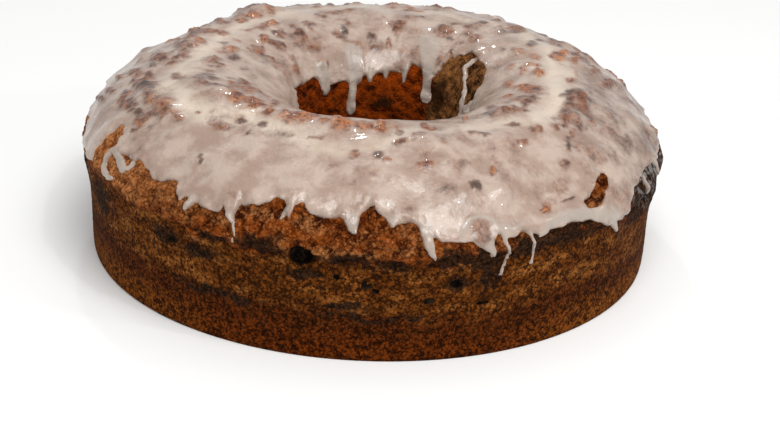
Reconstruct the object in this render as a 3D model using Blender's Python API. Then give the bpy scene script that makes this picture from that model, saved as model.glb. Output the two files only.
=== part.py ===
"""A glazed ring cake, baked in a tube pan and standing the way it was baked, with its cracked crown up.

Two solids: the cake, in one piece with its crags and lumps, and the sugar glaze that lies on the crown and
runs down in drips, outside and in the hole. Metres, +Z up, with the origin in the middle of the base.
Angles round the cake are in degrees from the front, which is -Y, towards +X. Lengths run along the cake's
section from the outer edge of its base, up the wall, over the crown and down the hole.
"""

import bmesh
import bpy
import math
import random
from mathutils import Vector, noise

# The pan's shape: the outer wall flares a little towards its top, and the tube leaves a round hole.
BASE_RADIUS = 0.1208
BASE_ROUND = 0.0006
WALL_TOP_RADIUS = 0.1226
WALL_HEIGHT = 0.0445
HOLE_RADIUS = 0.0365
HOLE_TOP_HEIGHT = 0.0450
# The tube stood a little to the right of the middle.
HOLE_SHIFT = 0.0035

# The crown rises over the pan's rim and overhangs the wall. Each side of it is a quarter of a superellipse.
CROWN_RADIUS = 0.1250
CROWN_WIDE_HEIGHT = 0.0480
CREST_RADIUS = 0.0780
CREST_HEIGHT = 0.0792
OUTER_EXPONENT = 1.5
INNER_EXPONENT = 2.3
ARC_STEPS = 48

# The crack where the crown split in the oven, a shallow valley that wanders round the crest: angle and radius.
CRACK = ((-170, 0.0800), (-125, 0.0770), (-95, 0.0760), (-83, 0.0835), (-69, 0.0915), (-50, 0.0895), (-40, 0.0830),
         (-28, 0.0830), (-15, 0.0890), (-6, 0.0905), (10, 0.0760), (38, 0.0775), (51, 0.0840), (63, 0.0810),
         (76, 0.0760), (96, 0.0750), (117, 0.0790), (150, 0.0770))
CRACK_DEPTH = 0.0024
CRACK_HALF_WIDTH = 0.0055

# Lumps of crust that stand out of the crown: angle, radius, half length, half width and height.
LUMPS = ((-79, 0.099, 0.0060, 0.0040, 0.0016), (-72, 0.100, 0.0065, 0.0045, 0.0018),
         (-60, 0.096, 0.0080, 0.0055, 0.0020), (-57, 0.078, 0.0075, 0.0060, 0.0018),
         (-40, 0.109, 0.0045, 0.0035, 0.0014), (-31, 0.073, 0.0075, 0.0050, 0.0016),
         (-14, 0.074, 0.0105, 0.0055, 0.0022), (1, 0.070, 0.0095, 0.0050, 0.0022),
         (14, 0.085, 0.0075, 0.0055, 0.0018), (19, 0.110, 0.0045, 0.0035, 0.0014),
         (27, 0.111, 0.0045, 0.0040, 0.0016), (33, 0.088, 0.0090, 0.0050, 0.0020),
         (48, 0.070, 0.0100, 0.0055, 0.0022), (62, 0.093, 0.0070, 0.0050, 0.0022),
         (75, 0.088, 0.0085, 0.0050, 0.0018), (84, 0.119, 0.0045, 0.0040, 0.0020))
HIDDEN_LUMPS = 24
# Broad rough swellings of the wall under the crown, at both sides: angle, height, half length, half height and rise.
SWELLINGS = ((-84, 0.0390, 0.0300, 0.0090, 0.0018), (76, 0.0390, 0.0360, 0.0100, 0.0018))

# The glaze: the clearance under it and how thick it lies, in general, in the crack, in a drip and at its rim.
GLAZE_GAP = 0.00035
GLAZE_THICKNESS = 0.0011
POOL_THICKNESS = 0.0013
DRIP_THICKNESS = 0.0016
RIM_THICKNESS = 0.0007
# How high the glaze's edge stands round the cake, outside and in the hole: angle and height.
OUTER_EDGE = ((-150, 0.0570), (-115, 0.0550), (-90, 0.0560), (-72, 0.0570), (-62, 0.0600), (-50, 0.0605),
              (-42, 0.0595), (-34, 0.0570), (-22, 0.0605), (-16, 0.0630), (-8, 0.0605), (0, 0.0635), (8, 0.0595),
              (15, 0.0540), (22, 0.0530), (30, 0.0505), (42, 0.0505), (50, 0.0455), (62, 0.0455), (70, 0.0520),
              (85, 0.0560), (110, 0.0580), (150, 0.0550))
INNER_EDGE = ((-160, 0.0600), (-136, 0.0630), (-112, 0.0600), (-60, 0.0570), (0, 0.0600), (60, 0.0620),
              (100, 0.0690), (112, 0.0720), (134, 0.0715), (144, 0.0640), (165, 0.0640), (178, 0.0610))
# Drips: angle, height of the tip, and half the width of the drip.
OUTER_DRIPS = ((-60.5, 0.0510, 0.0026), (-56.0, 0.0508, 0.0024), (-51.0, 0.0550, 0.0032), (-43.5, 0.0565, 0.0062),
               (-35.5, 0.0515, 0.0036), (-24.2, 0.0432, 0.0022), (-14.5, 0.0580, 0.0026), (-2.2, 0.0550, 0.0038),
               (4.3, 0.0570, 0.0028), (11.2, 0.0470, 0.0030), (19.5, 0.0465, 0.0060), (25.7, 0.0355, 0.0022),
               (32.1, 0.0360, 0.0023), (55.9, 0.0364, 0.0034))
INNER_DRIPS = ((-163, 0.0400, 0.0026), (-144, 0.0540, 0.0028), (-118, 0.0500, 0.0026), (-78, 0.0440, 0.0026),
               (-36, 0.0480, 0.0028), (5, 0.0430, 0.0026), (48, 0.0490, 0.0028), (84, 0.0520, 0.0028),
               (126, 0.0570, 0.0026), (142, 0.0530, 0.0030))
HIDDEN_DRIPS = 9
HIDDEN_FALLS = (0.005, 0.007, 0.010, 0.015)
# A place that the glaze missed, where the crust shows: angle, height, half width and half height.
BARE_PATCH = (48.5, 0.0555, 0.0080, 0.0050)

SEED = 7
# The mesh: columns round the cake, and rows along the section.
WIDEST_COLUMN = 6.6
NARROWEST_COLUMN = 0.6
WALL_SHARES = (0.0, 0.34, 0.68, 1.0)
ROW_SQUEEZE = 0.0012
EDGE_BAND = 0.0035
DRIP_ROWS = 3
CROWN_ROWS = 4
INNER_DRIP_ROWS = 2
HOLE_ROWS = 3


def turned(angle):
    """An angle brought into -180 to 180 degrees."""
    return (angle + 180) % 360 - 180


def closed_curve(points, angle):
    """The value at an angle of a smooth closed curve through (angle, value) points, by cosine steps."""
    after = next((k for k, p in enumerate(points) if p[0] > angle), 0)
    low, high = points[after - 1], points[after]
    span = (high[0] - low[0]) % 360
    share = ((angle - low[0]) % 360) / span
    share = (1 - math.cos(math.pi * share)) / 2
    return low[1] + (high[1] - low[1]) * share


def eased(value, low, high):
    """0 below low and 1 above high, with a smooth rise between."""
    share = min(max((value - low) / (high - low), 0.0), 1.0)
    return share * share * (3 - 2 * share)


def section_points():
    """The cake's half section, as (radius, height), from the base's outer edge to the foot of the hole."""
    points = [(BASE_RADIUS - BASE_ROUND, 0.0), (BASE_RADIUS, BASE_ROUND), (WALL_TOP_RADIUS, WALL_HEIGHT)]
    for k in range(ARC_STEPS + 1):
        turn = math.pi / 2 * k / ARC_STEPS
        across = max(math.cos(turn), 0.0) ** (2 / OUTER_EXPONENT)
        up = math.sin(turn) ** (2 / OUTER_EXPONENT)
        points.append((CREST_RADIUS + (CROWN_RADIUS - CREST_RADIUS) * across,
                       CROWN_WIDE_HEIGHT + (CREST_HEIGHT - CROWN_WIDE_HEIGHT) * up))
    for k in range(1, ARC_STEPS + 1):
        turn = math.pi / 2 * k / ARC_STEPS
        across = math.sin(turn) ** (2 / INNER_EXPONENT)
        up = max(math.cos(turn), 0.0) ** (2 / INNER_EXPONENT)
        points.append((CREST_RADIUS - (CREST_RADIUS - HOLE_RADIUS) * across,
                       HOLE_TOP_HEIGHT + (CREST_HEIGHT - HOLE_TOP_HEIGHT) * up))
    points.append((HOLE_RADIUS, 0.0))
    return points


def running_lengths(points):
    """The length along a line of points, at each of them."""
    lengths = [0.0]
    for a, b in zip(points, points[1:]):
        lengths.append(lengths[-1] + math.dist(a, b))
    return lengths


SECTION = section_points()
LENGTHS = running_lengths(SECTION)
BASE_LENGTH = LENGTHS[1]
WALL_LENGTH = LENGTHS[2]
WIDE_LENGTH = LENGTHS[3]
CREST_LENGTH = LENGTHS[3 + ARC_STEPS]
FULL_LENGTH = LENGTHS[-1]


def on_section(length):
    """Radius and height of the section at a length along it."""
    length = min(max(length, 0.0), FULL_LENGTH)
    k = next(k for k in range(1, len(LENGTHS)) if LENGTHS[k] >= length - 1e-12)
    share = (length - LENGTHS[k - 1]) / (LENGTHS[k] - LENGTHS[k - 1])
    (r0, z0), (r1, z1) = SECTION[k - 1], SECTION[k]
    return r0 + (r1 - r0) * share, z0 + (z1 - z0) * share


def outward(length):
    """The section's outward direction, as radius and height, smoothed over a few millimetres."""
    reach = 0.0015
    (r0, z0), (r1, z1) = on_section(length - reach), on_section(length + reach)
    size = math.dist((r0, z0), (r1, z1))
    return (z1 - z0) / size, (r0 - r1) / size


def length_where(passed, low, high):
    """The length between low and high from which passed(radius, height) holds, by halving."""
    for _ in range(30):
        middle = (low + high) / 2
        if passed(*on_section(middle)):
            high = middle
        else:
            low = middle
    return high


def outer_length(height):
    return length_where(lambda r, z: z > height, BASE_LENGTH, CREST_LENGTH)


def inner_length(height):
    return length_where(lambda r, z: z < height, CREST_LENGTH, FULL_LENGTH)


def crown_length(radius):
    return length_where(lambda r, z: r < radius, WIDE_LENGTH, inner_length(HOLE_TOP_HEIGHT))


def around(angle, radius, height):
    """The point or direction at an angle round the cake."""
    turn = math.radians(angle)
    return Vector((radius * math.sin(turn), -radius * math.cos(turn), height))


def all_lumps():
    """The lumps that the front shows, and more of the same round the sides and back."""
    draw = random.Random(SEED)
    lumps = list(LUMPS)
    for _ in range(HIDDEN_LUMPS):
        long_side = draw.uniform(0.0045, 0.0100)
        lumps.append((turned(draw.uniform(92, 276)), draw.uniform(0.062, 0.116), long_side,
                      long_side * draw.uniform(0.5, 0.9), draw.uniform(0.0012, 0.0026)))
    return lumps


def all_drips():
    """The outer drips that the front shows, and more of the same round the back."""
    draw = random.Random(SEED + 1)
    drips = list(OUTER_DRIPS)
    step = 200 / HIDDEN_DRIPS
    for k in range(HIDDEN_DRIPS):
        angle = turned(76 + step * (k + draw.uniform(0.2, 0.7)))
        tip = closed_curve(OUTER_EDGE, angle) - draw.choice(HIDDEN_FALLS)
        drips.append((angle, tip, draw.uniform(0.0026, 0.0050)))
    return drips


ALL_LUMPS = all_lumps()
ALL_DRIPS = all_drips()


def in_crack(angle, radius):
    """1 at the bottom of the crack, falling to 0 at both sides."""
    away = (radius - closed_curve(CRACK, angle)) / CRACK_HALF_WIDTH
    return math.exp(-1.3 * away * away)


def mound(angle, radius, shape, aside):
    """The rise of a rounded mound, aside from whose middle line a place lies by aside."""
    at, _, half_length, half_width, rise = shape
    along = math.radians(turned(angle - at)) * radius / half_length
    across = aside / half_width
    return rise * math.exp(-1.6 * (along * along + across * across))


def relief(angle, length):
    """How far the crust stands out of the plain turned shape."""
    radius, height = on_section(length)
    place = around(angle, radius, height)
    crown = eased(length, WALL_LENGTH - 0.003, WALL_LENGTH + 0.008)
    smooth_tube = eased(length, FULL_LENGTH - 0.060, FULL_LENGTH - 0.030)
    rough = crown * (1 - 0.75 * smooth_tube)
    out = 0.0004 * noise.noise(place / 0.035)
    out += rough * 0.0016 * noise.noise(place / 0.028 + Vector((3.1, 0, 0)))
    out += rough * 0.0010 * noise.noise(place / 0.012 + Vector((0, 7.7, 0)))
    if length > WIDE_LENGTH and height > HOLE_TOP_HEIGHT:
        out -= CRACK_DEPTH * in_crack(angle, radius)
        out += sum(mound(angle, radius, lump, radius - lump[1]) for lump in ALL_LUMPS)
    if length < CREST_LENGTH:
        out += sum(mound(angle, radius, swelling, height - swelling[1]) for swelling in SWELLINGS)
    return out * (0.2 + 0.8 * eased(height, 0.0, 0.006))


def on_crust(angle, length):
    """The point on the crust at an angle and a length along the section."""
    radius, height = on_section(length)
    out_r, out_z = outward(length)
    out = relief(angle, length)
    foot = length <= 0.0 or length >= FULL_LENGTH
    point = around(angle, radius + out * out_r, 0.0 if foot else height + out * out_z)
    point.x += HOLE_SHIFT * eased(radius, CROWN_RADIUS, HOLE_RADIUS)
    return point


def edge_height(angle, edge, drips, radius):
    """How high the glaze's edge stands at an angle: the edge itself, or lower where a drip runs."""
    level = closed_curve(edge, angle)
    lowest = level
    for at, tip, half_width in drips:
        away = abs(math.radians(turned(angle - at))) * radius / half_width
        if away < 1:
            lowest = min(lowest, level + (tip - level) * (1 - away ** 2.6))
    return lowest


def column_angles():
    """The angles of the mesh's columns: four for each drip, and more wherever a gap would be too wide."""
    angles = []
    for at, _, half_width in ALL_DRIPS:
        half = math.degrees(half_width / CROWN_RADIUS)
        angles += [turned(at + half * share) for share in (-1.0, -0.42, 0.42, 1.0)]
    angles.sort()
    kept = [angles[0]]
    for angle in angles[1:]:
        if angle - kept[-1] > NARROWEST_COLUMN:
            kept.append(angle)
    full = []
    for angle, following in zip(kept, kept[1:] + [kept[0] + 360]):
        pieces = math.ceil((following - angle) / WIDEST_COLUMN)
        full += [turned(angle + (following - angle) * k / pieces) for k in range(pieces)]
    return sorted(full)


def spread(low, high, pieces):
    """Lengths from low up to high, without high itself."""
    return [low + (high - low) * k / pieces for k in range(pieces)]


def column_lengths(angle):
    """The lengths of one column's vertices, with one at each edge of the glaze and one in the crack."""
    outer = outer_length(edge_height(angle, OUTER_EDGE, ALL_DRIPS, CROWN_RADIUS))
    level = outer_length(closed_curve(OUTER_EDGE, angle)) + EDGE_BAND
    crack = closed_curve(CRACK, angle)
    crack_out = crown_length(crack + CRACK_HALF_WIDTH)
    crack_in = crown_length(crack - CRACK_HALF_WIDTH)
    inner_level = inner_length(closed_curve(INNER_EDGE, angle)) - EDGE_BAND
    inner = inner_length(edge_height(angle, INNER_EDGE, INNER_DRIPS, HOLE_RADIUS))
    below = [BASE_LENGTH + (WALL_LENGTH - BASE_LENGTH) * share for share in WALL_SHARES] + [WIDE_LENGTH]
    below = [min(length, outer - ROW_SQUEEZE * (len(below) - k)) for k, length in enumerate(below)]
    iced = spread(outer, level, DRIP_ROWS) + spread(level, crack_out, CROWN_ROWS)
    iced += [crack_out, crown_length(crack)] + spread(crack_in, inner_level, CROWN_ROWS)
    iced += spread(inner_level, inner, INNER_DRIP_ROWS) + [inner]
    return [0.0] + below, iced, spread(inner, FULL_LENGTH, HOLE_ROWS)[1:] + [FULL_LENGTH]


def glaze_thickness(angle, length, row, last_row):
    """How thick the glaze lies at one of its rows, counted from its outer to its inner edge."""
    if row <= 0 or row >= last_row:
        return RIM_THICKNESS
    if row < DRIP_ROWS or row > last_row - INNER_DRIP_ROWS:
        return DRIP_THICKNESS
    return GLAZE_THICKNESS + POOL_THICKNESS * in_crack(angle, on_section(length)[0])


def in_bare_patch(point):
    """Whether a point of the crust is where the glaze missed it."""
    at, height, half_width, half_height = BARE_PATCH
    angle = math.degrees(math.atan2(point.x, -point.y))
    along = math.radians(turned(angle - at)) * CROWN_RADIUS / half_width
    return along * along + ((point.z - height) / half_height) ** 2 < 1 and point.y < 0


def ring_mesh():
    """The cake's mesh: a spun grid whose vertices are put on the crust. The faces under the glaze are marked."""
    angles = column_angles()
    columns = [column_lengths(angle) for angle in angles]
    first_iced = len(columns[0][0])
    last_iced = first_iced + len(columns[0][1]) - 1
    rows = sum(len(part) for part in columns[0])
    mesh = bmesh.new()
    row_of = mesh.verts.layers.int.new("row")
    above = mesh.verts.layers.float.new("above")
    way_of = mesh.verts.layers.float_vector.new("way")
    iced = mesh.faces.layers.int.new("iced")
    chain = []
    for row in range(rows):
        radius, height = on_section(FULL_LENGTH * row / (rows - 1))
        vertex = mesh.verts.new((radius, 0.0, height))
        vertex[row_of] = row
        chain.append(vertex)
    edges = [mesh.edges.new((a, b)) for a, b in zip(chain, chain[1:] + chain[:1])]
    bmesh.ops.spin(mesh, geom=chain + edges, cent=(0, 0, 0), axis=(0, 0, 1), angle=math.tau, steps=len(angles),
                   use_merge=True)
    for vertex in mesh.verts:
        turn = math.atan2(vertex.co.y, vertex.co.x) % math.tau
        column = round(turn / math.tau * len(angles)) % len(angles)
        row = vertex[row_of]
        length = [length for part in columns[column] for length in part][row]
        vertex.co = on_crust(angles[column], length)
        vertex[way_of] = around(angles[column], *outward(length))
        vertex[above] = glaze_thickness(angles[column], length, row - first_iced, last_iced - first_iced)
    for face in mesh.faces:
        used = [vertex[row_of] for vertex in face.verts]
        covered = min(used) >= first_iced and max(used) <= last_iced
        face[iced] = int(covered and not in_bare_patch(face.calc_center_median()))
    bmesh.ops.triangulate(mesh, faces=mesh.faces[:])
    turn_outward(mesh)
    return mesh


def turn_outward(mesh):
    bmesh.ops.recalc_face_normals(mesh, faces=mesh.faces[:])
    if mesh.calc_volume(signed=True) < 0:
        bmesh.ops.reverse_faces(mesh, faces=mesh.faces[:])


def finish_object(name, mesh, colour, roughness):
    """Puts a bmesh into the scene as an object with a Principled material of its own."""
    data = bpy.data.meshes.new(name)
    mesh.to_mesh(data)
    mesh.free()
    data.shade_smooth()
    material = bpy.data.materials.new(name)
    material.use_nodes = True
    shader = material.node_tree.nodes["Principled BSDF"]
    shader.inputs["Base Color"].default_value = (*colour, 1.0)
    shader.inputs["Roughness"].default_value = roughness
    data.materials.append(material)
    bpy.context.scene.collection.objects.link(bpy.data.objects.new(name, data))


def glaze_mesh(ring):
    """The glaze: the crust's iced faces lifted clear of it, with a second skin over them and walls round each rim."""
    skin = ring.copy()
    iced = skin.faces.layers.int["iced"]
    above = skin.verts.layers.float["above"]
    way_of = skin.verts.layers.float_vector["way"]
    bmesh.ops.delete(skin, geom=[face for face in skin.faces if not face[iced]], context="FACES")
    for vertex in skin.verts:
        vertex.co += vertex[way_of] * GLAZE_GAP
    made = bmesh.ops.extrude_face_region(skin, geom=skin.faces[:], use_keep_orig=True)
    for vertex in made["geom"]:
        if isinstance(vertex, bmesh.types.BMVert):
            on_rim = any(len(face.verts) == 4 for face in vertex.link_faces)
            vertex.co += vertex[way_of] * (RIM_THICKNESS if on_rim else vertex[above])
    bmesh.ops.triangulate(skin, faces=skin.faces[:])
    turn_outward(skin)
    return skin


for thing in list(bpy.data.objects):
    bpy.data.objects.remove(thing)
cake = ring_mesh()
finish_object("glaze", glaze_mesh(cake), (0.640, 0.520, 0.455), 0.25)
finish_object("cake", cake, (0.190, 0.075, 0.028), 0.85)
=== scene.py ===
import bisect
import functools
import math
import random

import bmesh
import bpy
from mathutils import Matrix, Vector, noise


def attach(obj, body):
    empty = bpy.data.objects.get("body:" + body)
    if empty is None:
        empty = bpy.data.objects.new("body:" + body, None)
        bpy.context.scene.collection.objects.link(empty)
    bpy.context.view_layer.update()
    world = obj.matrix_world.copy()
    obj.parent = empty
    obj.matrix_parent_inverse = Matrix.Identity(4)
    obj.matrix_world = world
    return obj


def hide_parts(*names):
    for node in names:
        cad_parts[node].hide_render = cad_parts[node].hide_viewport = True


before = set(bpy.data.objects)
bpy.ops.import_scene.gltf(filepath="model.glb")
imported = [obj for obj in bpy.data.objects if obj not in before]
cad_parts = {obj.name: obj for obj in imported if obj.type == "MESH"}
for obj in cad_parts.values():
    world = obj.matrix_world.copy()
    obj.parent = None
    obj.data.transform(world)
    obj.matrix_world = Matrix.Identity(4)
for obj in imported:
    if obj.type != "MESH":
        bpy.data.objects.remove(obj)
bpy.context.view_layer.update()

# The view, the table and the light. The cake stands on a plain pale table top and is seen from a little
# above, a metre away. One wide soft lamp lights it from above and in front, and three small weak ones put
# sparks on the glaze.
CAMERA_PLACE = (0.0, -0.8891, 0.4049)
CAMERA_RIGHT = Vector((0.9991, 0.0080, 0.0410))
CAMERA_FORWARD = Vector((0.0095, 0.9131, -0.4076))
CAMERA_LENS = 101.54
SENSOR_WIDTH = 36.0
TABLE_SIZE = 8.0
ROOM_LIGHT = 0.60
CAKE_FRONT = (0.0, -0.02, 0.05)
CAKE_TOP = (0.0, 0.0, 0.07)
# Each lamp's name, place, the point that it's turned to, its width and its power.
LAMPS = (("front_light", (0.24, -0.62, 1.20), CAKE_FRONT, 0.90, 12),
         ("front_spark", (0.34, -0.50, 1.10), CAKE_FRONT, 0.06, 1.1),
         ("back_spark", (-0.16, 0.70, 0.95), CAKE_TOP, 0.06, 0.9),
         ("right_spark", (0.85, -0.45, 0.62), CAKE_FRONT, 0.06, 1.0))


class Wire:
    """The output of one node of a finish. Arithmetic on it adds Math nodes."""

    def __init__(self, finish, socket):
        self.finish = finish
        self.socket = socket

    def __add__(self, other):
        return self.finish.maths("ADD", self, other)

    def __radd__(self, other):
        return self.finish.maths("ADD", other, self)

    def __sub__(self, other):
        return self.finish.maths("SUBTRACT", self, other)

    def __rsub__(self, other):
        return self.finish.maths("SUBTRACT", other, self)

    def __mul__(self, other):
        return self.finish.maths("MULTIPLY", self, other)

    def __rmul__(self, other):
        return self.finish.maths("MULTIPLY", other, self)


class Finish:
    """A material that ends in one Principled shader, and the nodes that feed it."""

    def __init__(self, name):
        self.material = bpy.data.materials.new(name)
        self.material.use_nodes = True
        self.tree = self.material.node_tree
        self.shader = self.tree.nodes["Principled BSDF"]

    def feed(self, socket, value):
        """Links a wire to a socket, or sets the socket to a value."""
        if isinstance(value, Wire):
            self.tree.links.new(value.socket, socket)
        else:
            socket.default_value = value

    def node(self, kind, settings=(), inputs=(), output=0):
        """A node of any type: its settings first, then the values and wires of its inputs."""
        made = self.tree.nodes.new(kind)
        for name, value in dict(settings).items():
            setattr(made, name, value)
        for key, value in dict(inputs).items():
            self.feed(made.inputs[key], value)
        return Wire(self, made.outputs[output])

    def maths(self, operation, first, second):
        return self.node("ShaderNodeMath", {"operation": operation}, {0: first, 1: second})

    def rise(self, value, low, high):
        """0 below low and 1 above high, with a smooth rise between."""
        return self.node("ShaderNodeMapRange", {"interpolation_type": "SMOOTHSTEP"},
                         {"Value": value, "From Min": low, "From Max": high})

    def grain(self, place, size, detail=2.0, roughness=0.5):
        """Noise with features of about that size, in metres."""
        return self.node("ShaderNodeTexNoise", {},
                         {"Vector": place, "Scale": 1 / size, "Detail": detail, "Roughness": roughness})

    def cells(self, place, size, output=0):
        """Crumbs of about that size: the distance from a crumb's middle, or its own tone from output 1."""
        return self.node("ShaderNodeTexVoronoi", {}, {"Vector": place, "Scale": 1 / size}, output=output)

    def moved(self, place, by, amount):
        """A place shaken by a colour noise, or stretched where the amount is given alone."""
        operation = "MULTIPLY" if by is None else "MULTIPLY_ADD"
        inputs = {0: place, 1: amount} if by is None else {0: by, 1: amount, 2: place}
        return self.node("ShaderNodeVectorMath", {"operation": operation}, inputs)

    def mix(self, share, first, second):
        """The colour between two, by a share. Each is a wire, or a colour as a screen shows it."""
        first, second = (part if isinstance(part, Wire) else colour(*part) for part in (first, second))
        return self.node("ShaderNodeMix", {"data_type": "RGBA"}, {0: share, 6: first, 7: second}, output=2)

    def mark(self, name):
        """A value that the mesh carries on its vertices."""
        return self.node("ShaderNodeAttribute", {"attribute_name": name}, output=2)

    def set(self, **values):
        """Sets or feeds the shader's sockets."""
        for name, value in values.items():
            self.feed(self.shader.inputs[name.replace("_", " ")], value)


def colour(red, green, blue):
    """A colour given as a screen shows it, 0 to 255, in the renderer's own scale."""
    parts = [part / 255 for part in (red, green, blue)]
    return (*[part / 12.92 if part < 0.04045 else ((part + 0.055) / 1.055) ** 2.4 for part in parts], 1.0)


def put_in_scene(name, mesh, finish):
    """Makes an object of a bmesh, with its place in its mesh."""
    data = bpy.data.meshes.new(name)
    mesh.to_mesh(data)
    mesh.free()
    data.shade_smooth()
    data.materials.append(finish.material)
    made = bpy.data.objects.new(name, data)
    bpy.context.scene.collection.objects.link(made)
    return made


def add_lamp(name, place, aim, width, power):
    """A round lamp that is turned to a point."""
    data = bpy.data.lights.new(name, "AREA")
    data.shape = "DISK"
    data.size = width
    data.energy = power
    made = bpy.data.objects.new(name, data)
    made.location = place
    made.rotation_euler = (Vector(aim) - Vector(place)).to_track_quat("-Z", "Y").to_euler()
    bpy.context.scene.collection.objects.link(made)


camera = bpy.data.objects.new("camera", bpy.data.cameras.new("camera"))
forward = CAMERA_FORWARD.normalized()
right = (CAMERA_RIGHT - forward * CAMERA_RIGHT.dot(forward)).normalized()
up = right.cross(forward)
camera.matrix_world = Matrix.Translation(CAMERA_PLACE) @ Matrix((right, up, -forward)).transposed().to_4x4()
camera.data.sensor_width = SENSOR_WIDTH
camera.data.lens = CAMERA_LENS
bpy.context.scene.collection.objects.link(camera)
bpy.context.scene.camera = camera
bpy.context.scene.view_settings.view_transform = "Standard"

bpy.context.scene.world = bpy.data.worlds.new("room")
bpy.context.scene.world.use_nodes = True
room = bpy.context.scene.world.node_tree.nodes["Background"]
room.inputs["Color"].default_value = (1.0, 1.0, 1.0, 1.0)
room.inputs["Strength"].default_value = ROOM_LIGHT
for lamp in LAMPS:
    add_lamp(*lamp)

table_finish = Finish("table_top")
table_finish.set(Base_Color=colour(244, 244, 243), Roughness=0.6)
table_mesh = bmesh.new()
bmesh.ops.create_grid(table_mesh, x_segments=1, y_segments=1, size=TABLE_SIZE / 2)
put_in_scene("table_top", table_mesh, table_finish)

# The baked ring, one piece of dark crumb cake turned out of a tube pan. Its wall is fine and porous where the
# tin held it; over the rim the crown burst and set in craggy lumps. Its plain shape is the one the solid has.
BASE_RADIUS = 0.1208
BASE_ROUND = 0.0006
WALL_TOP_RADIUS = 0.1226
WALL_HEIGHT = 0.0445
HOLE_RADIUS = 0.0365
HOLE_TOP_HEIGHT = 0.0450
HOLE_SHIFT = 0.0035
CROWN_RADIUS = 0.1250
CROWN_WIDE_HEIGHT = 0.0480
CREST_RADIUS = 0.0780
CREST_HEIGHT = 0.0792
OUTER_EXPONENT = 1.5
INNER_EXPONENT = 2.3
ARC_STEPS = 48
# The crack that runs round the crown: angle and radius.
CRACK = (
    (-170, 0.08), (-125, 0.077), (-95, 0.076), (-83, 0.0835), (-69, 0.0915), (-50, 0.0895), (-40, 0.083),
    (-28, 0.083), (-15, 0.089), (-6, 0.0905), (10, 0.076), (38, 0.0775), (51, 0.084), (63, 0.081),
    (76, 0.076), (96, 0.075), (117, 0.079), (150, 0.077))
CRACK_DEPTH = 0.0024
CRACK_HALF_WIDTH = 0.0055
# Where the crown's overhang starts above the wall: angle and height.
SEAM = (
    (-150, 0.044), (-110, 0.043), (-84, 0.036), (-68, 0.043), (-57, 0.0475), (-44, 0.0455), (-32, 0.0425),
    (-22, 0.043), (-12, 0.044), (-3, 0.0435), (6, 0.043), (15, 0.0415), (25, 0.043), (30, 0.048), (40, 0.049),
    (50, 0.0445), (60, 0.043), (70, 0.036), (88, 0.035), (120, 0.043))
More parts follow.
